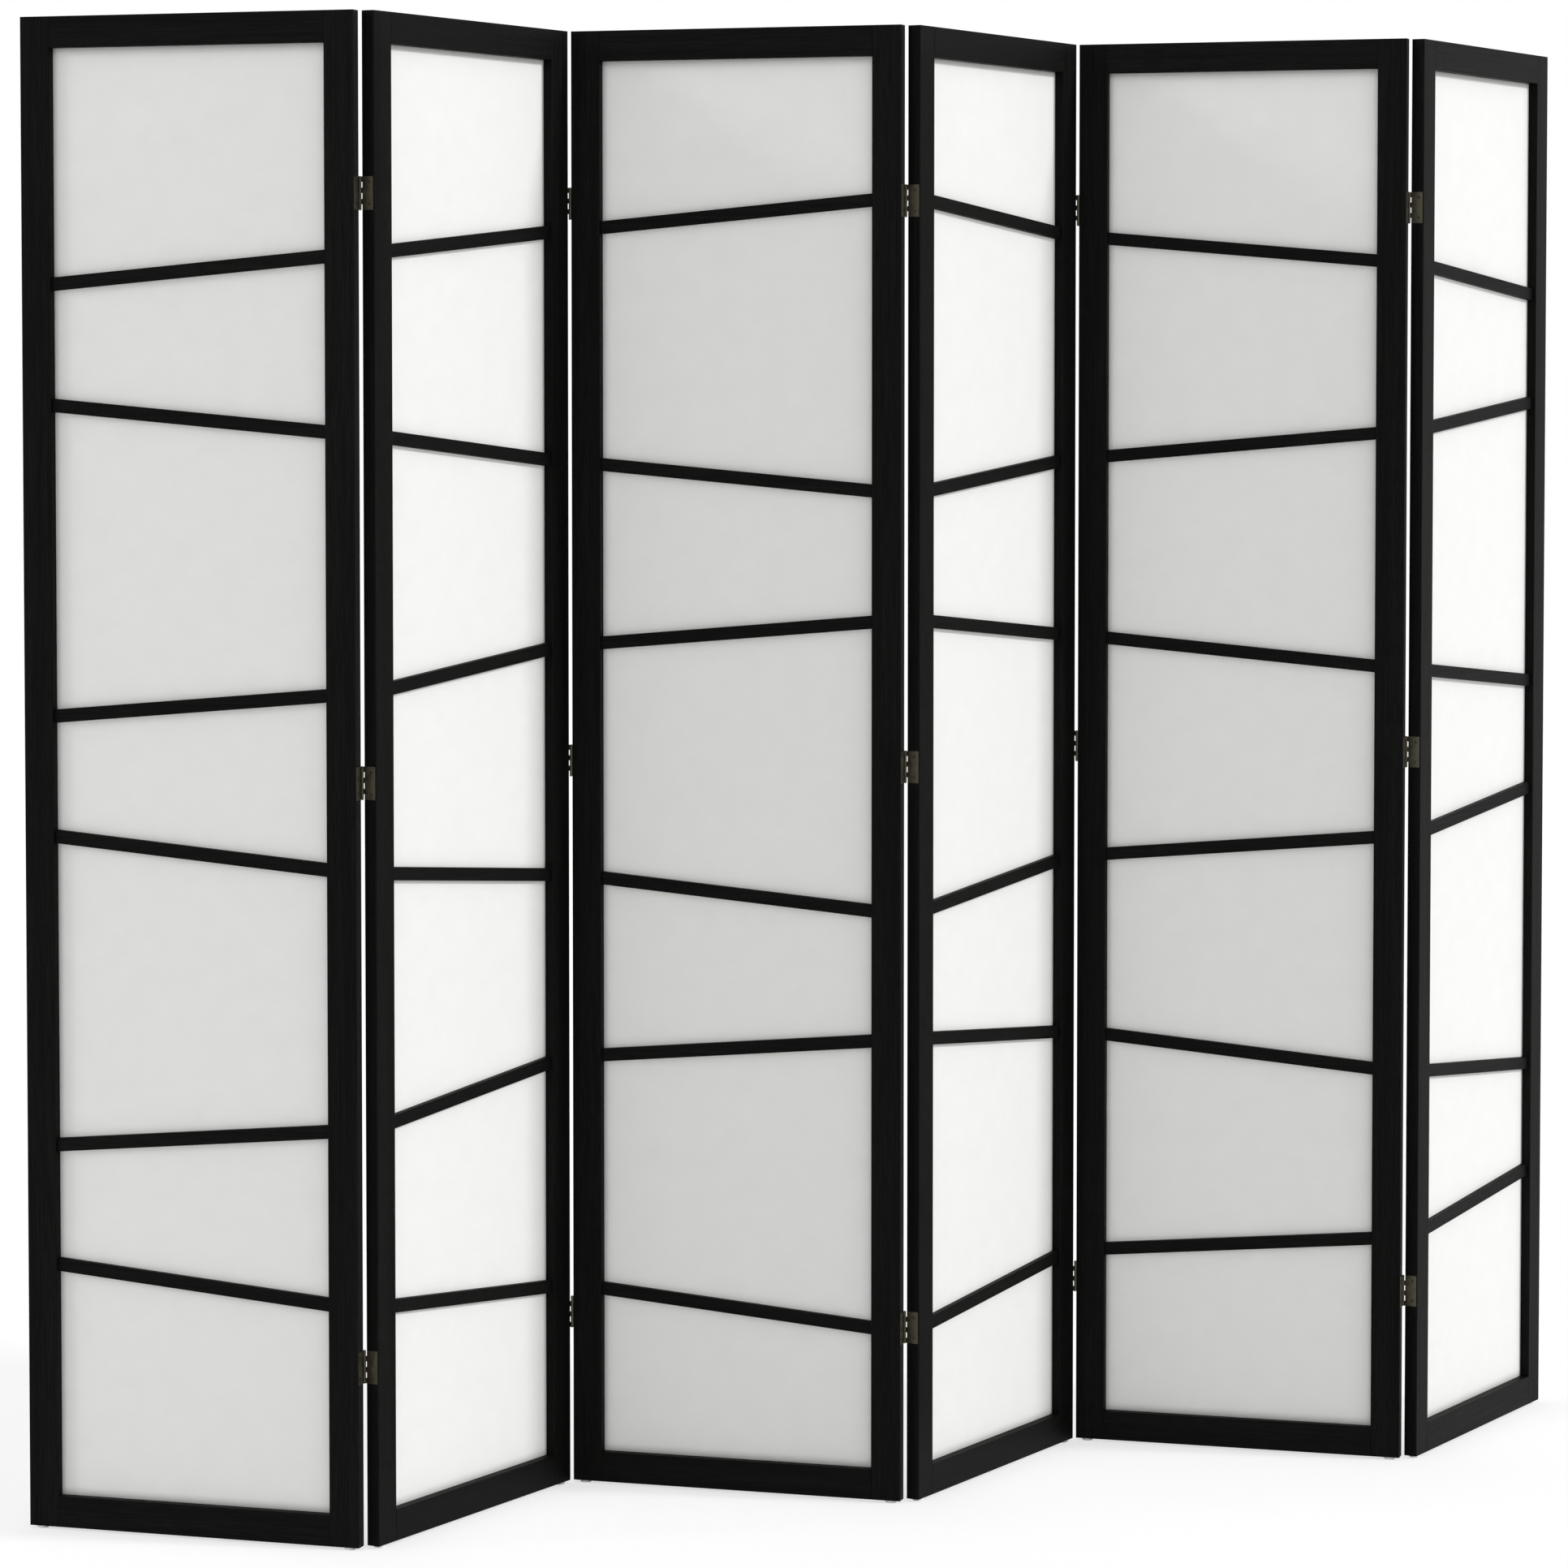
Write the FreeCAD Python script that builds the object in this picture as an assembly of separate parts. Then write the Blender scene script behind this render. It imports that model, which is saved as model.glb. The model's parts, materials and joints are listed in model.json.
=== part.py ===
"""Six-panel folding paper screen: black wooden frames with slanted lattice bars, joined by butt hinges.

Millimetres. X runs along the zigzag, Y from the front to the back and Z up. The origin lies on the floor,
under the middle of the screen. Each panel is built flat, with x from its left edge, y from its front face
and z from its lower edge, and is then turned and moved to its place in the zigzag.
"""
import FreeCAD, Part
import math
import os

# Screen
panel_count = 6
fold_angle = 77.5             # turn between neighbouring panels, counted from a flat screen

# Frame of one panel
panel_width = 400.0
panel_height = 1700.0
panel_thickness = 16.0
stile_width = 35.0
rail_width = 35.0
arris_radius = 1.0            # rounding along the stiles and along the rails' inner edges
tenon_thickness = 5.0
tenon_shoulder = 6.0          # rail above and below its tenon
tenon_clearance = 0.1
mortise_end_gap = 0.5

# Paper and the beads that hold it
rebate_depth = 4.5            # from the back face to the ledge that carries the paper
rebate_width = 8.0
paper_thickness = 0.4
bead_clearance = 0.25         # bead and paper to the side of the rebate
mitre_gap = 0.1               # between two beads at a corner

# Lattice bars, laid out on the flattened screen as chevrons about its middle fold
bar_width = 15.0
bar_thickness = 7.0
bar_angle = 5.0
bar_arris = 0.6
bar_housing = 4.0             # length of a bar's end inside the stile
bar_pairs = 3
lattice_margin = 196.0        # panel top to the first bar's centre line, at the middle fold
narrow_spacing = 144.5        # between two pairs of bars, at the middle fold

# Glides under the stiles
glide_diameter = 13.0
glide_height = 3.0
glide_chamfer = 0.6
glide_inset = 13.0            # panel edge to the glide's centre
stem_diameter = 4.0
stem_length = 10.0
stem_clearance = 0.05
stem_to_mortise = 2.0

# Butt hinges, let into the panels' edges
hinge_length = 36.8
hinge_end_inset = 200.0       # panel end to the middle of the hinge nearest to it
knuckle_count = 6
knuckle_gap = 0.12            # between two neighbouring knuckles
leaf_thickness = 0.8
leaf_margin = 1.3             # free edge of a leaf to the panel's far face
leaf_proud = 0.3              # leaf standing out of the panel's edge
leaf_gap = 0.2                # between two leaves when the screen is flat
leaf_clearance = 0.1          # round a leaf in its recess
notch_clearance = 1.6         # leaf to the other leaf's knuckles
pin_diameter = 1.5
pin_end = 0.5                 # pin standing out of the barrel at each end
pin_proud = 2.3               # pin's axis outside the face that it lies at
pin_clearance = 0.05

# Countersunk screws, two to a leaf
screw_spacing = 24.0          # between the two screws of a leaf
screw_edge = 5.0              # free edge of a leaf to the middle of its screws
screw_shank = 2.2
screw_length = 10.0
screw_clearance = 0.05
recess_length = 2.4           # cross recess in the head
recess_width = 0.6
recess_depth = 0.6

# Sizes that follow from these
x_axis = FreeCAD.Vector(1, 0, 0)
y_axis = FreeCAD.Vector(0, 1, 0)
z_axis = FreeCAD.Vector(0, 0, 1)
paper_front = panel_thickness - rebate_depth
bar_front = paper_front - bar_thickness
opening_right = panel_width - stile_width
opening_top = panel_height - rail_width
tenon_length = stile_width - glide_inset - stem_diameter / 2 - stem_to_mortise
tenon_front = (paper_front - tenon_thickness) / 2
bore_radius = pin_diameter / 2 + pin_clearance
knuckle_radius = bore_radius + leaf_thickness
leaf_open = leaf_gap / 2
leaf_back = leaf_open + leaf_thickness
edge_to_pin = leaf_open + leaf_proud
knuckle_pitch = hinge_length / knuckle_count
hinge_heights = (hinge_end_inset, panel_height / 2, panel_height - hinge_end_inset)
leaf_free_edge = pin_proud + panel_thickness - leaf_margin
screw_radius = screw_shank / 2
head_radius = screw_radius + leaf_thickness
flat_pitch = panel_width + 2 * edge_to_pin
bar_slope = math.tan(math.radians(bar_angle))
wide_spacing = (panel_height - 2 * lattice_margin - (bar_pairs - 1) * narrow_spacing) / bar_pairs
half_fold = math.radians(fold_angle / 2)
pin_across = panel_thickness + 2 * pin_proud
pin_step = flat_pitch * math.cos(half_fold) + pin_across * math.sin(half_fold)
zigzag_depth = flat_pitch * math.sin(half_fold) - pin_across * math.cos(half_fold)


def block(low, high):
    """A box from its lowest to its highest corner."""
    size = FreeCAD.Vector(*high) - FreeCAD.Vector(*low)
    return Part.makeBox(size.x, size.y, size.z, FreeCAD.Vector(*low))


def plate(outline, front, thickness):
    """A flat piece with an outline of x and z points, from a depth behind the panel's front face."""
    points = [FreeCAD.Vector(x, front, z) for x, z in outline]
    face = Part.Face(Part.makePolygon(points + points[:1]))
    return face.extrude(y_axis * thickness)


def edges_along(solid, axis):
    """The straight edges of a solid that run along an axis."""
    return [e for e in solid.Edges if abs(abs(e.tangentAt(e.FirstParameter).dot(axis)) - 1) < 1e-6]


def tenon(rail_low, side, clearance, end_gap):
    """The tenon at the left (-1) or right (+1) end of a rail, or with clearances the mortise for it."""
    root = stile_width if side < 0 else opening_right
    tip = root + side * (tenon_length + end_gap)
    low = (min(root, tip), tenon_front - clearance, rail_low + tenon_shoulder - clearance)
    high = (max(root, tip), tenon_front + tenon_thickness + clearance,
            rail_low + rail_width - tenon_shoulder + clearance)
    return block(low, high)


def rebate():
    """The space behind the paper's ledge, all round the opening."""
    return block((stile_width - rebate_width, paper_front, rail_width - rebate_width),
                 (opening_right + rebate_width, panel_thickness, opening_top + rebate_width))


def glide_stem(side, clearance):
    """The stem of a glide, or with clearance the hole for it in the stile's lower end."""
    x = glide_inset if side < 0 else panel_width - glide_inset
    foot = FreeCAD.Vector(x, panel_thickness / 2, 0)
    return Part.makeCylinder(stem_diameter / 2 + clearance, stem_length + clearance, foot)


def glide(side):
    """A round foot with a bevelled lower edge and a stem."""
    stem = glide_stem(side, 0)
    disc = Part.makeCylinder(glide_diameter / 2, glide_height, stem.BoundBox.Center)
    disc.translate(z_axis * (-glide_height - stem_length / 2))
    lower_edge = [e for e in disc.Edges if abs(e.BoundBox.ZMax + glide_height) < 1e-6]
    return disc.makeChamfer(glide_chamfer, lower_edge).fuse(stem).removeSplitter()


def flat_distance(panel, x):
    """Distance of a panel's point from the middle fold, along the flattened screen."""
    middle = panel_count / 2
    panels_between = middle - panel if panel <= middle else panel - middle - 1
    from_edge = panel_width - x if panel <= middle else x
    return edge_to_pin + panels_between * flat_pitch + from_edge


def lattice_bar(panel, number):
    """One slanted bar: the upper bar of each pair sinks away from the middle fold, the lower one rises."""
    pair, lower = divmod(number, 2)
    start = lattice_margin + pair * (wide_spacing + narrow_spacing) + lower * wide_spacing
    half_height = bar_width / 2 / math.cos(math.radians(bar_angle))
    left = stile_width - bar_housing
    right = opening_right + bar_housing
    heights = []
    for x in (left, right):
        drop = start + (-1) ** lower * bar_slope * flat_distance(panel, x)
        heights.append(panel_height - drop)
    outline = [(left, heights[0] - half_height), (right, heights[1] - half_height),
               (right, heights[1] + half_height), (left, heights[0] + half_height)]
    bar = plate(outline, bar_front, bar_thickness)
    front_edges = [e for e in bar.Edges if e.BoundBox.YMax < bar_front + 1e-6 and e.BoundBox.XLength > 1]
    return bar.makeChamfer(bar_arris, front_edges)


def stile(side, bars, hinge_cuts):
    """An upright with mortises, bar housings, the rebate, the glide's hole and the cuts for its hinges."""
    outer = 0.0 if side < 0 else panel_width
    inner = stile_width if side < 0 else opening_right
    board = block((min(outer, inner), 0, 0), (max(outer, inner), panel_thickness, panel_height))
    rounded = []
    for edge in edges_along(board, z_axis):
        middle = edge.CenterOfMass
        if middle.y < panel_thickness / 2 or abs(middle.x - outer) < 1e-6:
            rounded.append(edge)
    cuts = [tenon(low, side, tenon_clearance, mortise_end_gap) for low in (0, opening_top)]
    cuts += bars + hinge_cuts + [rebate(), glide_stem(side, stem_clearance)]
    return board.makeFillet(arris_radius, rounded).cut(cuts)


def rail(low):
    """A cross piece with its inner front edge rounded, its part of the rebate and two tenons."""
    board = block((stile_width, 0, low), (opening_right, panel_thickness, low + rail_width))
    inner = low + rail_width if low == 0 else low
    rounded = [e for e in edges_along(board, x_axis)
               if e.BoundBox.YMax < 1e-6 and abs(e.CenterOfMass.z - inner) < 1e-6]
    body = board.makeFillet(arris_radius, rounded).cut(rebate())
    return body.fuse([tenon(low, side, 0, 0) for side in (-1, 1)]).removeSplitter()


def bead_corners(inset):
    """Corners of the bead frame, at an inset outwards from the opening."""
    left, right = stile_width - inset, opening_right + inset
    bottom, top = rail_width - inset, opening_top + inset
    return [(left, bottom), (right, bottom), (right, top), (left, top)]


def back_beads():
    """Four strips, mitred where they meet, flush with the back and with the opening."""
    outer = bead_corners(rebate_width - bead_clearance)
    inner = bead_corners(0)
    front = paper_front + paper_thickness
    trim = mitre_gap / math.sqrt(2)
    beads = []
    for this, (along_x, along_z) in enumerate(((1, 0), (0, 1), (-1, 0), (0, -1))):
        after = (this + 1) % len(outer)
        starts = [(x + along_x * trim, z + along_z * trim) for x, z in (inner[this], outer[this])]
        ends = [(x - along_x * trim, z - along_z * trim) for x, z in (outer[after], inner[after])]
        beads.append(plate(starts + ends, front, panel_thickness - front))
    return beads


def paper():
    """The sheet, with its edges on the ledge of the rebate."""
    return plate(bead_corners(rebate_width - bead_clearance), paper_front, paper_thickness)


def head_middle(end):
    """Middle of the head of a leaf's lower (-1) or upper (+1) screw, on the leaf's open face."""
    return FreeCAD.Vector(leaf_open, leaf_free_edge - screw_edge, end * screw_spacing / 2)


def screw_body(end, clearance):
    """A screw whose head is as deep as the leaf, or with clearance the hole for it in leaf and stile."""
    tip = screw_length + clearance
    profile = [(0, 0), (0, head_radius + clearance), (leaf_thickness, screw_radius + clearance),
               (tip, screw_radius + clearance), (tip, 0)]
    middle = head_middle(end)
    points = [middle + x_axis * depth + y_axis * radius for depth, radius in profile]
    return Part.Face(Part.makePolygon(points + points[:1])).revolve(middle, x_axis, 360)


def hinge_screw(end):
    """A countersunk screw with a cross recess, its head flush with the leaf."""
    arms = []
    for along_y, along_z in ((recess_length, recess_width), (recess_width, recess_length)):
        corner = head_middle(end) - y_axis * (along_y / 2) - z_axis * (along_z / 2)
        arms.append(Part.makeBox(recess_depth, along_y, along_z, corner))
    return screw_body(end, 0).cut(arms)


def hinge_leaf(first_knuckle):
    """A leaf with every other knuckle rolled round the pin, which stands on the origin along Z.

    The leaf's back lies in a panel's edge at x = leaf_back, and the leaf reaches away from the pin along y.
    """
    strip = block((leaf_open, 0, 0), (leaf_back, leaf_free_edge, hinge_length))
    bore = Part.makeCylinder(bore_radius, hinge_length)
    leaf = Part.makeCylinder(knuckle_radius, hinge_length).fuse(strip).removeSplitter().cut(bore)
    reach = knuckle_radius + notch_clearance
    notches = []
    for knuckle in range(1 - first_knuckle, knuckle_count, 2):
        low = knuckle * knuckle_pitch - knuckle_gap / 2
        high = low + knuckle_pitch + knuckle_gap
        notches.append(block((-reach, -reach, low), (reach, reach, high)))
    leaf = leaf.cut(notches)
    leaf.translate(z_axis * (-hinge_length / 2))
    return leaf.cut([screw_body(end, screw_clearance) for end in (-1, 1)])


def leaf_recess():
    """The space that a leaf takes up in the edge of a stile, open towards the pin."""
    half_length = hinge_length / 2 + leaf_clearance
    return block((0, 0, -half_length), (leaf_back, leaf_free_edge + leaf_clearance, half_length))


def hinge_pin():
    """A plain pin through the whole barrel, along Z about the origin."""
    length = hinge_length + 2 * pin_end
    return Part.makeCylinder(pin_diameter / 2, length, z_axis * (-length / 2))


def pin_place(panel, side):
    """Where a fold's pin stands beside a panel, in the panel's own x and y."""
    x = -edge_to_pin if side < 0 else panel_width + edge_to_pin
    at_back = panel % 2 == (0 if side < 0 else 1)
    y = panel_thickness + pin_proud if at_back else -pin_proud
    return x, y, at_back


def fold_beside(panel, side):
    """The number of the fold at the left (-1) or right (+1) edge of a panel."""
    return panel - 1 if side < 0 else panel


def hinge_places(panel, side):
    """Places of the hinges on one edge of a panel, from the lowest up; none on the screen's outer edges."""
    if not 0 < fold_beside(panel, side) < panel_count:
        return []
    x, y, at_back = pin_place(panel, side)
    turn = FreeCAD.Rotation()
    if at_back:
        turn = FreeCAD.Rotation(x_axis, 180) if side < 0 else FreeCAD.Rotation(z_axis, 180)
    elif side > 0:
        turn = FreeCAD.Rotation(y_axis, 180)
    return [FreeCAD.Placement(FreeCAD.Vector(x, y, height), turn) for height in hinge_heights]


def fold_place(fold):
    """Where a fold's pins stand on the floor: odd folds at the front of the zigzag, even ones at its back."""
    x = (fold - panel_count / 2) * pin_step
    y = zigzag_depth / 2 * (-1 if fold % 2 else 1)
    return FreeCAD.Vector(x, y, glide_height)


def panel_placement(panel):
    """Turns and moves a flat panel to its place in the zigzag."""
    side = -1 if panel == panel_count else 1
    x, y, _ = pin_place(panel, side)
    turn = FreeCAD.Rotation(z_axis, fold_angle / 2 * (-1 if panel % 2 else 1))
    pin = fold_place(fold_beside(panel, side))
    return FreeCAD.Placement(pin - turn.multVec(FreeCAD.Vector(x, y, 0)), turn)


def placed(solids, placement):
    """Copies of solids, turned and moved to a place."""
    return [solid.transformed(placement.toMatrix(), True) for solid in solids]


def write(name, solids, placement):
    """Writes one node: its solids in their places on the screen."""
    solids = placed(solids, placement)
    shape = solids[0] if len(solids) == 1 else Part.makeCompound(solids)
    shape.exportStep("parts/" + name + ".step")


def build_panel(panel):
    """Writes every node of one panel."""
    bars = [lattice_bar(panel, number) for number in range(2 * bar_pairs)]
    leaves = []
    screws = []
    hinge_cuts = {-1: [], 1: []}
    for side in hinge_cuts:
        for number, place in enumerate(hinge_places(panel, side)):
            turned_over = 1 if number == 0 else 0
            leaves += placed([hinge_leaf(turned_over)], place)
            screws += placed([hinge_screw(end) for end in (-1, 1)], place)
            holes = [screw_body(end, screw_clearance) for end in (-1, 1)]
            hinge_cuts[side] += placed([leaf_recess()] + holes, place)
    pieces = {
        "left_stile": [stile(-1, bars, hinge_cuts[-1])],
        "right_stile": [stile(1, bars, hinge_cuts[1])],
        "rails": [rail(0), rail(opening_top)],
        "lattice_bars": bars,
        "paper": [paper()],
        "back_beads": back_beads(),
        "glides": [glide(-1), glide(1)],
        "hinge_leaves": leaves,
        "hinge_screws": screws,
    }
    for piece, solids in pieces.items():
        write(f"panel_{panel}_{piece}", solids, panel_placement(panel))


def build_pins(fold):
    """Writes the pins of one fold."""
    pins = []
    for height in hinge_heights:
        pin = hinge_pin()
        pin.translate(z_axis * height)
        pins.append(pin)
    write(f"fold_{fold}_hinge_pins", pins, FreeCAD.Placement(fold_place(fold), FreeCAD.Rotation()))


os.makedirs("parts", exist_ok=True)
for panel in range(1, panel_count + 1):
    build_panel(panel)
for fold in range(1, panel_count):
    build_pins(fold)
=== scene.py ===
"""Looks of the six-panel folding paper screen: finishes, paper sheets, floor, light and camera.

Metres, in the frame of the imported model: X runs along the zigzag, Y from the front to the back
and Z up.
"""
import json
import logging
import math
from dataclasses import dataclass, field
from enum import Enum

import bmesh
import bpy
from mathutils import Euler, Matrix, Vector

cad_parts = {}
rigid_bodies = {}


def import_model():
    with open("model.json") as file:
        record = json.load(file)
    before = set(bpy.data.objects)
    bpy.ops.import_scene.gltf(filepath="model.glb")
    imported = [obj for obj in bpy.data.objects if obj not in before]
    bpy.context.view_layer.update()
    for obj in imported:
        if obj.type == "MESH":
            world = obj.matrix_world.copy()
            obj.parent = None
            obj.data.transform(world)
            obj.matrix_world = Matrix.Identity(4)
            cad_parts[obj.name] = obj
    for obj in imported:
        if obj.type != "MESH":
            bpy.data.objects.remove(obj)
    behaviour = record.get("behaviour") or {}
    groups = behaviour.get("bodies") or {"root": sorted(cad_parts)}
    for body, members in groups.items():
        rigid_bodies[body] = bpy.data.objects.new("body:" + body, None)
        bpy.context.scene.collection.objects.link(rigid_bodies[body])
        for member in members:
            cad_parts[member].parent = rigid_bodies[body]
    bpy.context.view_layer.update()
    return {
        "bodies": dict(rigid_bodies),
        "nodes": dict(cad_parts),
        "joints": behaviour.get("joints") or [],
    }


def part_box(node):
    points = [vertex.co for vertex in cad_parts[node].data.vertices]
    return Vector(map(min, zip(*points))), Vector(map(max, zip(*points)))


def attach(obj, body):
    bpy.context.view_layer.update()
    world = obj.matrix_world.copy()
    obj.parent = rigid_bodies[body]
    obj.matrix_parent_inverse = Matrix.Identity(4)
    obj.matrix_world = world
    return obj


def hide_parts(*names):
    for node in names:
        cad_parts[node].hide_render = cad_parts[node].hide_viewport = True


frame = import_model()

Colour = tuple[float, float, float]
Size = tuple[float, float, float]
Span = tuple[float, float]

NOISE_SPAN: Span = (0.35, 0.65)  # most values of a noise lie in it
WHOLE_SPAN: Span = (0.0, 1.0)
WHITE: Colour = (1.0, 1.0, 1.0)

log = logging.getLogger("folding_screen")


class Grain(Enum):
    """Which way the grain runs on a wooden piece of a panel."""

    UPRIGHT = "upright"
    ACROSS = "across"


class Side(Enum):
    """Which way a panel of the zigzag faces, with the sign of its turn about Z."""

    LEFT = -1
    RIGHT = 1


class ShaderBench:
    """A node tree with the few moves that the finishes need."""

    def __init__(self, tree: bpy.types.NodeTree) -> None:
        """Empties a node tree to build in it.

        Args:
            tree: The tree of a material or of the world.
        """
        self.tree = tree
        tree.nodes.clear()

    def add(self, kind: str, settings: dict | None = None, **inputs: object) -> bpy.types.Node:
        """Adds a node.

        Args:
            kind: Blender's name of the node type, without the ShaderNode in front.
            settings: Attributes of the node itself.
            **inputs: Values or output sockets by input name, with _ for a space.

        Returns:
            The new node.
        """
        node = self.tree.nodes.new("ShaderNode" + kind)
        for name, value in (settings or {}).items():
            setattr(node, name, value)
        for name, value in inputs.items():
            self.feed(node.inputs[name.replace("_", " ")], value)
        return node

    def feed(self, socket: bpy.types.NodeSocket, value: object) -> None:
        """Links an output socket to an input, or sets the input's own value."""
        if isinstance(value, bpy.types.NodeSocket):
            self.tree.links.new(value, socket)
        elif isinstance(value, tuple) and len(value) == 3 and socket.type == "RGBA":
            socket.default_value = (*value, 1.0)
        else:
            socket.default_value = value

    def math(self, operation: str, first: object, second: object) -> bpy.types.NodeSocket:
        """Combines two numbers.

        Args:
            operation: The Math node's operation.
            first: A number or an output socket.
            second: A number or an output socket.

        Returns:
            The result's socket.
        """
        node = self.add("Math", {"operation": operation})
        self.feed(node.inputs[0], first)
        self.feed(node.inputs[1], second)
        return node.outputs[0]

    def ramp(self, factor: object, stops: list[tuple[float, Colour]]) -> bpy.types.NodeSocket:
        """Turns a number into a colour.

        Args:
            factor: The output socket that drives the ramp.
            stops: Two positions with their colours.

        Returns:
            The colour's socket.
        """
        node = self.add("ValToRGB", Fac=factor)
        for element, (position, colour) in zip(node.color_ramp.elements, stops):
            element.position = position
            element.color = (*colour, 1.0)
        return node.outputs["Color"]

    def blend(self, first: object, second: object, share: float) -> bpy.types.NodeSocket:
        """Adds up two numbers by their shares.

        Args:
            first: An output socket.
            second: An output socket.
            share: The first number's share, from 0 to 1. The rest is the second's.

        Returns:
            The sum's socket.
        """
        return self.math("ADD", self.math("MULTIPLY", first, share),
                         self.math("MULTIPLY", second, 1.0 - share))

    def spread(self, value: object, source: Span, target: Span) -> bpy.types.NodeSocket:
        """Maps a number from one range to another.

        Args:
            value: The output socket to map.
            source: Lowest and highest value that goes in.
            target: Lowest and highest value that comes out.

        Returns:
            The mapped number's socket.
        """
        node = self.add("MapRange", Value=value, From_Min=source[0], From_Max=source[1],
                        To_Min=target[0], To_Max=target[1])
        return node.outputs["Result"]

    def noise(self, place: object, size: Size, detail: float,
              turn: float = 0.0) -> bpy.types.NodeSocket:
        """Noise whose features have their own size along each direction.

        Args:
            place: The coordinates' socket.
            size: Size of a feature along x, y and z, in metres.
            detail: How many finer layers are added.
            turn: Turn of these directions about z, in radians.

        Returns:
            The noise's socket, about 0.5 on average.
        """
        stretched = self.add("Mapping", {"vector_type": "TEXTURE"}, Vector=place,
                             Rotation=(0.0, 0.0, turn), Scale=size)
        noise = self.add("TexNoise", Vector=stretched.outputs[0], Scale=1.0, Detail=detail)
        return noise.outputs["Fac"]

    def seen_directly(self) -> bpy.types.NodeSocket:
        """1 for rays that show the background itself: direct, in a reflection or through glass."""
        path = self.add("LightPath").outputs
        shown = self.math("MAXIMUM", path["Is Camera Ray"], path["Is Glossy Ray"])
        return self.math("MAXIMUM", shown, path["Is Transmission Ray"])


def new_material(name: str) -> tuple[bpy.types.Material, ShaderBench]:
    """Makes an empty material.

    Args:
        name: The material's name.

    Returns:
        The material, and the bench for its nodes.
    """
    material = bpy.data.materials.new(name)
    material.use_nodes = True
    return material, ShaderBench(material.node_tree)


@dataclass(frozen=True)
class StainedWood:
    """Black stained wood with a fine straight grain and a thin matt finish."""

    dark: Colour = (0.0024, 0.0024, 0.0023)
    light: Colour = (0.0078, 0.0076, 0.0072)
    roughness: Span = (0.42, 0.58)
    shine: float = 0.04
    streak: Span = (0.0019, 0.14)
    pore: Span = (0.00055, 0.026)
    board: Span = (0.022, 0.9)
    streak_detail: float = 5.0
    pore_detail: float = 3.0
    board_detail: float = 2.0
    streak_share: float = 0.6
    open_pore: Span = (0.38, 0.50)
    pore_depth: float = 0.00012
    relief: float = 0.5

    def material(self, name: str, grain: Grain, turn: float) -> bpy.types.Material:
        """Makes the finish for pieces with one direction of grain.

        Args:
            name: The material's name.
            grain: Which way the grain runs on the panel.
            turn: The panel's turn about Z, in radians.

        Returns:
            The material.
        """
        material, bench = new_material(name)
        place = bench.add("TexCoord").outputs["Object"]

        def grown(width: float, length: float, detail: float) -> bpy.types.NodeSocket:
            """Noise drawn out along the grain, with its width and length in metres."""
            size = (width, width, length) if grain is Grain.UPRIGHT else (length, width, width)
            return bench.noise(place, size, detail, turn)

        streaks = grown(*self.streak, self.streak_detail)
        pores = grown(*self.pore, self.pore_detail)
        boards = grown(*self.board, self.board_detail)
        figure = bench.blend(streaks, boards, self.streak_share)
        open_pores = bench.spread(pores, self.open_pore, WHOLE_SPAN)
        tone = bench.math("MULTIPLY", bench.spread(figure, NOISE_SPAN, WHOLE_SPAN), open_pores)
        bump = bench.add("Bump", Height=bench.math("ADD", open_pores, streaks),
                         Strength=self.relief, Distance=self.pore_depth)
        skin = bench.add("BsdfPrincipled",
                         Base_Color=bench.ramp(tone, [(0.0, self.dark), (1.0, self.light)]),
                         Roughness=bench.spread(figure, NOISE_SPAN, self.roughness),
                         Specular_IOR_Level=self.shine, Normal=bump.outputs[0])
        bench.add("OutputMaterial", Surface=skin.outputs[0])
        return material


@dataclass(frozen=True)
class FibrePaper:
    """White translucent paper with fine fibres, laid out on the sheet's own map in metres."""

    pale: Colour = (0.895, 0.895, 0.883)
    shade: Colour = (0.850, 0.850, 0.838)
    through: Colour = (0.86, 0.86, 0.84)
    see_through: float = 0.28
    roughness: float = 0.75
    shine: float = 0.2
    fibre_length: float = 0.014
    fibre_width: float = 0.0007
    fibre_turns: tuple[float, ...] = (0.2, 1.1, 2.2, 2.9)
    fibre_detail: float = 2.0
    fibre_share: float = 0.6
    cloud_size: float = 0.03
    cloud_detail: float = 4.0
    fibre_depth: float = 0.00004
    relief: float = 0.4

    def material(self, name: str) -> bpy.types.Material:
        """Makes the finish.

        Args:
            name: The material's name.

        Returns:
            The material.
        """
        material, bench = new_material(name)
        place = bench.add("TexCoord").outputs["UV"]
        clouds = bench.noise(place, (self.cloud_size,) * 3, self.cloud_detail)
        fibre = (self.fibre_length, self.fibre_width, 1.0)
        layers = float(len(self.fibre_turns))
        fibres = 0.0
        for turn in self.fibre_turns:
            layer = bench.noise(place, fibre, self.fibre_detail, turn)
            fibres = bench.math("ADD", bench.math("DIVIDE", layer, layers), fibres)
        body = bench.spread(bench.blend(fibres, clouds, self.fibre_share), NOISE_SPAN, WHOLE_SPAN)
        colour = bench.ramp(body, [(0.0, self.shade), (1.0, self.pale)])
        bump = bench.add("Bump", Height=fibres, Strength=self.relief, Distance=self.fibre_depth)
        skin = bench.add("BsdfPrincipled", Base_Color=colour, Roughness=self.roughness,
                         Specular_IOR_Level=self.shine, Normal=bump.outputs[0])
        glow = bench.add("BsdfTranslucent", Color=self.through)
        mixed = bench.add("MixShader", Fac=self.see_through)
        bench.feed(mixed.inputs[1], skin.outputs[0])
        bench.feed(mixed.inputs[2], glow.outputs[0])
        bench.add("OutputMaterial", Surface=mixed.outputs[0])
        return material


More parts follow.
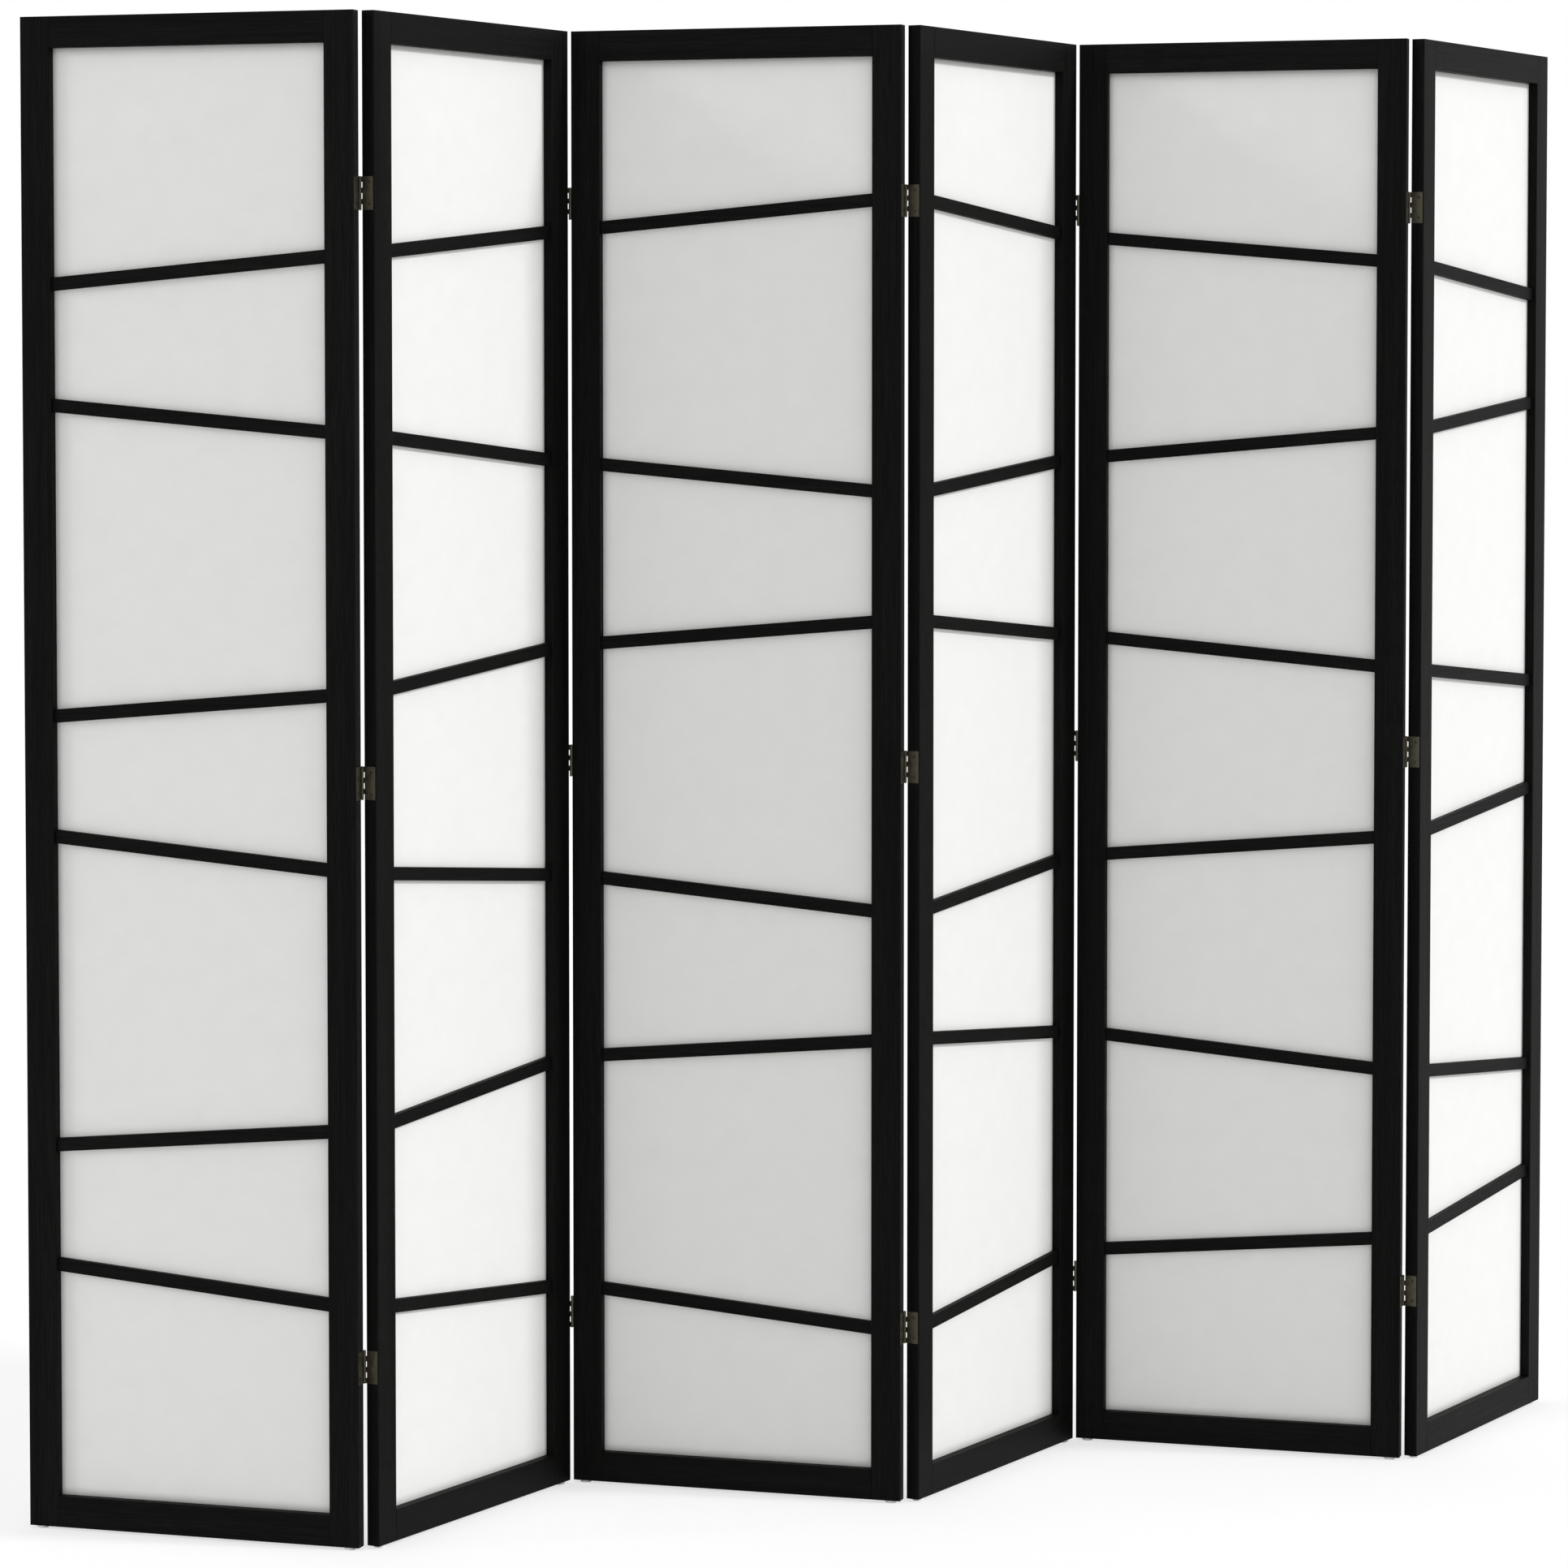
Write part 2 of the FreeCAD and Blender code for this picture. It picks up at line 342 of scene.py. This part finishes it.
@dataclass(frozen=True)
class AntiqueBronze:
    """Plated hinge metal with a mottled brown patina that is rubbed paler in places."""

    patina: Colour = (0.080, 0.075, 0.054)
    rubbed: Colour = (0.116, 0.107, 0.076)
    roughness: Span = (0.38, 0.58)
    mottle_size: float = 0.006
    mottle_detail: float = 5.0
    mottle_share: float = 0.7
    wear: Span = (0.38, 0.66)
    speck_size: float = 0.0007
    speck_detail: float = 3.0
    speck_depth: float = 0.00003
    relief: float = 0.3

    def material(self, name: str) -> bpy.types.Material:
        """Makes the finish.

        Args:
            name: The material's name.

        Returns:
            The material.
        """
        material, bench = new_material(name)
        place = bench.add("TexCoord").outputs["Object"]
        mottle = bench.noise(place, (self.mottle_size,) * 3, self.mottle_detail)
        specks = bench.noise(place, (self.speck_size,) * 3, self.speck_detail)
        worn = bench.blend(mottle, specks, self.mottle_share)
        bump = bench.add("Bump", Height=specks, Strength=self.relief, Distance=self.speck_depth)
        stops = list(zip(self.wear, (self.patina, self.rubbed)))
        skin = bench.add("BsdfPrincipled", Base_Color=bench.ramp(worn, stops),
                         Roughness=bench.spread(worn, NOISE_SPAN, self.roughness),
                         Metallic=1.0, Normal=bump.outputs[0])
        bench.add("OutputMaterial", Surface=skin.outputs[0])
        return material


@dataclass(frozen=True)
class MouldedNylon:
    """Milky white moulded plastic of the glides."""

    pale: Colour = (0.90, 0.90, 0.885)
    shade: Colour = (0.82, 0.82, 0.80)
    roughness: Span = (0.40, 0.55)
    detail: float = 2.0
    cloud_size: float = 0.006
    grain_size: float = 0.0006
    grain_span: Span = (0.3, 0.7)
    grain_depth: float = 0.00003
    relief: float = 0.3

    def material(self, name: str) -> bpy.types.Material:
        """Makes the finish.

        Args:
            name: The material's name.

        Returns:
            The material.
        """
        material, bench = new_material(name)
        place = bench.add("TexCoord").outputs["Object"]
        clouds = bench.noise(place, (self.cloud_size,) * 3, self.detail)
        pits = bench.noise(place, (self.grain_size,) * 3, self.detail)
        bump = bench.add("Bump", Height=pits, Strength=self.relief, Distance=self.grain_depth)
        stops = list(zip(NOISE_SPAN, (self.shade, self.pale)))
        skin = bench.add("BsdfPrincipled", Base_Color=bench.ramp(clouds, stops),
                         Roughness=bench.spread(pits, self.grain_span, self.roughness),
                         Normal=bump.outputs[0])
        bench.add("OutputMaterial", Surface=skin.outputs[0])
        return material


@dataclass
class Finishes:
    """Every finish of the screen, made once and shared by the panels."""

    half_fold: float
    wood: StainedWood = field(default_factory=StainedWood)
    pin_patina: Colour = (0.050, 0.046, 0.033)
    pin_rubbed: Colour = (0.095, 0.086, 0.060)

    def __post_init__(self) -> None:
        """Makes the materials, with the wood's once for each turn and direction of grain."""
        self.timber = {}
        for side in Side:
            turn = side.value * self.half_fold
            for grain in Grain:
                name = f"black_wood_{grain.value}_{side.name.lower()}"
                self.timber[side, grain] = self.wood.material(name, grain, turn)
        self.paper = FibrePaper().material("fibre_paper")
        self.hinge = AntiqueBronze().material("antique_bronze")
        self.pin = AntiqueBronze(self.pin_patina, self.pin_rubbed).material("pin_bronze")
        self.glide = MouldedNylon().material("moulded_nylon")


@dataclass
class PaperSheet:
    """One taut sheet of paper in a panel's rebate, in the place of the panel's plain CAD sheet."""

    node: str
    turn: float
    thickness: float = 0.0004
    slack: float = 0.0002
    evenness: float = 0.6
    waves_along: float = 3.5
    waves_across: float = 1.0
    columns: int = 24
    rows: int = 96

    def __post_init__(self) -> None:
        """Reads the sheet's place and cut size from the frame."""
        low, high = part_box(self.node)
        self.middle = (low + high) / 2
        across = high.x - low.x
        self.width = (across - self.thickness * math.sin(abs(self.turn))) / math.cos(self.turn)
        self.length = high.z - low.z

    def ripple(self, u: float, v: float) -> float:
        """How far the sheet gives to the back at a place on it.

        Args:
            u: Share of the width, from 0 to 1.
            v: Share of the length, from 0 to 1.

        Returns:
            The distance in metres, none at the held edges.
        """
        drum = math.sin(math.pi * u) * math.sin(math.pi * v)
        swing = math.sin(math.tau * (self.waves_along * v + self.waves_across * u))
        return self.slack * drum * (self.evenness + (1.0 - self.evenness) * swing)

    def build(self, name: str, finish: bpy.types.Material) -> bpy.types.Object:
        """Makes the sheet as a grid with a map in metres, and gives it its thickness.

        Args:
            name: The piece's name.
            finish: The paper's material.

        Returns:
            The sheet, in its place.
        """
        mesh = bmesh.new()
        mapping = mesh.loops.layers.uv.new("sheet")
        bmesh.ops.create_grid(mesh, x_segments=self.columns, y_segments=self.rows, size=0.5,
                              calc_uvs=True)
        for vertex in mesh.verts:
            vertex.co.z = -self.ripple(vertex.co.x + 0.5, vertex.co.y + 0.5)
        for face in mesh.faces:
            for corner in face.loops:
                place = corner.vert.co
                corner[mapping].uv = (place.x * self.width, place.y * self.length)
        cut = Matrix.Diagonal((self.width, self.length, 1.0, 1.0))
        stand = Matrix.Rotation(math.radians(90.0), 4, "X") @ cut
        put = Matrix.Translation(self.middle) @ Matrix.Rotation(self.turn, 4, "Z")
        bmesh.ops.transform(mesh, verts=mesh.verts, matrix=put @ stand)
        data = bpy.data.meshes.new(name)
        mesh.to_mesh(data)
        mesh.free()
        data.shade_smooth()
        data.materials.append(finish)
        sheet = bpy.data.objects.new(name, data)
        bpy.context.scene.collection.objects.link(sheet)
        wall = sheet.modifiers.new("thickness", "SOLIDIFY")
        wall.thickness = self.thickness
        wall.offset = 0.0
        return sheet


@dataclass
class Panel:
    """One panel of the screen: its wooden frame, bars and beads, paper, glides and hinge leaves."""

    number: int
    finishes: Finishes

    def __post_init__(self) -> None:
        """Works out which way the panel faces."""
        self.body = f"panel_{self.number}"
        self.side = Side.LEFT if self.number % 2 else Side.RIGHT
        self.turn = self.side.value * self.finishes.half_fold

    def node(self, piece: str) -> str:
        """The CAD node's name of one of the panel's pieces."""
        return f"{self.body}_{piece}"

    def dress(self) -> None:
        """Gives every CAD piece of the panel its finish."""
        upright = self.finishes.timber[self.side, Grain.UPRIGHT]
        across = self.finishes.timber[self.side, Grain.ACROSS]
        finish_of = {
            "left_stile": upright,
            "right_stile": upright,
            "rails": across,
            "lattice_bars": across,
            "back_beads": upright,
            "glides": self.finishes.glide,
            "hinge_leaves": self.finishes.hinge,
            "hinge_screws": self.finishes.pin,
        }
        for piece, finish in finish_of.items():
            put_finish(self.node(piece), finish)

    def hang_paper(self) -> bpy.types.Object:
        """Puts the modelled sheet in the place of the CAD one.

        Returns:
            The sheet.
        """
        plan = PaperSheet(self.node("paper"), self.turn)
        sheet = plan.build(f"paper_sheet_{self.number}", self.finishes.paper)
        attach(sheet, self.body)
        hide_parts(self.node("paper"))
        holders = ("left_stile", "right_stile", "rails", "back_beads")
        [self.node(piece) for piece in holders]
        log.info("%s: %.4f by %.4f m", sheet.name, plan.width, plan.length)
        return sheet


def put_finish(node: str, finish: bpy.types.Material) -> None:
    """Gives a CAD node its finish.

    Args:
        node: The node's name.
        finish: The material for all of it.
    """
    for slot in frame["nodes"][node].material_slots:
        slot.material = finish
    log.info("%s: %s", node, finish.name)


@dataclass
class FoldingScreen:
    """The whole screen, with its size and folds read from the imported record."""

    def __post_init__(self) -> None:
        """Reads the folds: a joint's lower limit is flat, so it gives the fold's angle at rest."""
        fold_angle = -frame["joints"][0]["range_deg"][0]
        self.folds = [joint["name"] for joint in frame["joints"]]
        self.finishes = Finishes(math.radians(fold_angle / 2))
        self.panels = [Panel(number + 1, self.finishes) for number in range(len(frame["bodies"]))]

    def dress(self) -> None:
        """Dresses the panels and the pins of the folds, and hangs the paper."""
        for panel in self.panels:
            panel.dress()
            panel.hang_paper()
        for fold in self.folds:
            put_finish(f"{fold}_hinge_pins", self.finishes.pin)


@dataclass(frozen=True)
class Lamp:
    """A far lamp, with its bearing from the front towards the right and its height in degrees."""

    name: str
    level: float
    softness: float
    bearing: float
    height: float

    def hang(self) -> None:
        """Makes the lamp and turns it to shine on the screen."""
        light = bpy.data.lights.new(self.name, "SUN")
        light.energy = self.level
        light.angle = math.radians(self.softness)
        lamp = bpy.data.objects.new(self.name, light)
        tilt = math.radians(90.0 - self.height)
        lamp.rotation_euler = Euler((tilt, 0.0, math.radians(self.bearing)))
        bpy.context.scene.collection.objects.link(lamp)
        log.info("%s lamp: %.2f", self.name, self.level)


@dataclass
class Studio:
    """A pale floor, an even bright room, a lamp at the front right and a weak one at the left."""

    floor_size: float = 60.0
    floor_colour: Colour = (0.83, 0.83, 0.83)
    floor_shade: Colour = (0.34, 0.34, 0.34)
    floor_glow: float = 0.64
    room_level: float = 0.85
    key: Lamp = Lamp("key", level=1.75, softness=7.0, bearing=58.5, height=27.0)
    side: Lamp = Lamp("side", level=0.42, softness=11.0, bearing=-99.0, height=23.5)

    def build(self) -> None:
        """Makes the floor, the room's light and the lamps."""
        self.lay_floor()
        self.light_room()
        self.key.hang()
        self.side.hang()

    def lay_floor(self) -> None:
        """A wide floor that shows white, and keeps the screen's shadow."""
        mesh = bmesh.new()
        bmesh.ops.create_grid(mesh, x_segments=1, y_segments=1, size=self.floor_size / 2)
        data = bpy.data.meshes.new("floor")
        mesh.to_mesh(data)
        mesh.free()
        material, bench = new_material("pale_floor")
        plain = bench.add("BsdfDiffuse", Color=self.floor_colour)
        shadowed = bench.add("BsdfDiffuse", Color=self.floor_shade)
        glow = bench.add("Emission", Color=WHITE, Strength=self.floor_glow)
        shown = bench.add("AddShader")
        bench.feed(shown.inputs[0], shadowed.outputs[0])
        bench.feed(shown.inputs[1], glow.outputs[0])
        mixed = bench.add("MixShader", Fac=bench.seen_directly())
        bench.feed(mixed.inputs[1], plain.outputs[0])
        bench.feed(mixed.inputs[2], shown.outputs[0])
        bench.add("OutputMaterial", Surface=mixed.outputs[0])
        data.materials.append(material)
        floor = bpy.data.objects.new("floor", data)
        bpy.context.scene.collection.objects.link(floor)
        log.info("floor: %.0f m", self.floor_size)

    def light_room(self) -> None:
        """Even light from all round, with a white background."""
        world = bpy.data.worlds.new("studio")
        world.use_nodes = True
        bench = ShaderBench(world.node_tree)
        light = bench.add("Background", Color=WHITE, Strength=self.room_level)
        white = bench.add("Background", Color=WHITE, Strength=1.0)
        mixed = bench.add("MixShader", Fac=bench.seen_directly())
        bench.feed(mixed.inputs[1], light.outputs[0])
        bench.feed(mixed.inputs[2], white.outputs[0])
        bench.add("OutputWorld", Surface=mixed.outputs[0])
        bpy.context.scene.world = world


@dataclass
class PhotoCamera:
    """The viewpoint: from the front left at chest height, with a long lens."""

    place: Size = (-2.2864, -5.5367, 1.2988)
    bearing: float = 21.514
    dip: float = 2.686
    lens: float = 117.534
    shift: float = -0.105

    def build(self) -> None:
        """Makes the camera and gives it to the scene."""
        data = bpy.data.cameras.new("viewpoint")
        data.lens = self.lens
        data.shift_y = self.shift
        camera = bpy.data.objects.new("viewpoint", data)
        camera.location = Vector(self.place)
        tilt = math.radians(90.0 - self.dip)
        camera.rotation_euler = Euler((tilt, 0.0, math.radians(-self.bearing)))
        bpy.context.scene.collection.objects.link(camera)
        bpy.context.scene.camera = camera
        log.info("camera: %.1f mm", self.lens)


def main() -> None:
    """Dresses the screen and sets it in the studio."""
    logging.basicConfig(level=logging.INFO, format="%(message)s")
    bpy.context.scene.view_settings.view_transform = "Standard"
    FoldingScreen().dress()
    Studio().build()
    PhotoCamera().build()


if __name__ == "__main__":
    main()
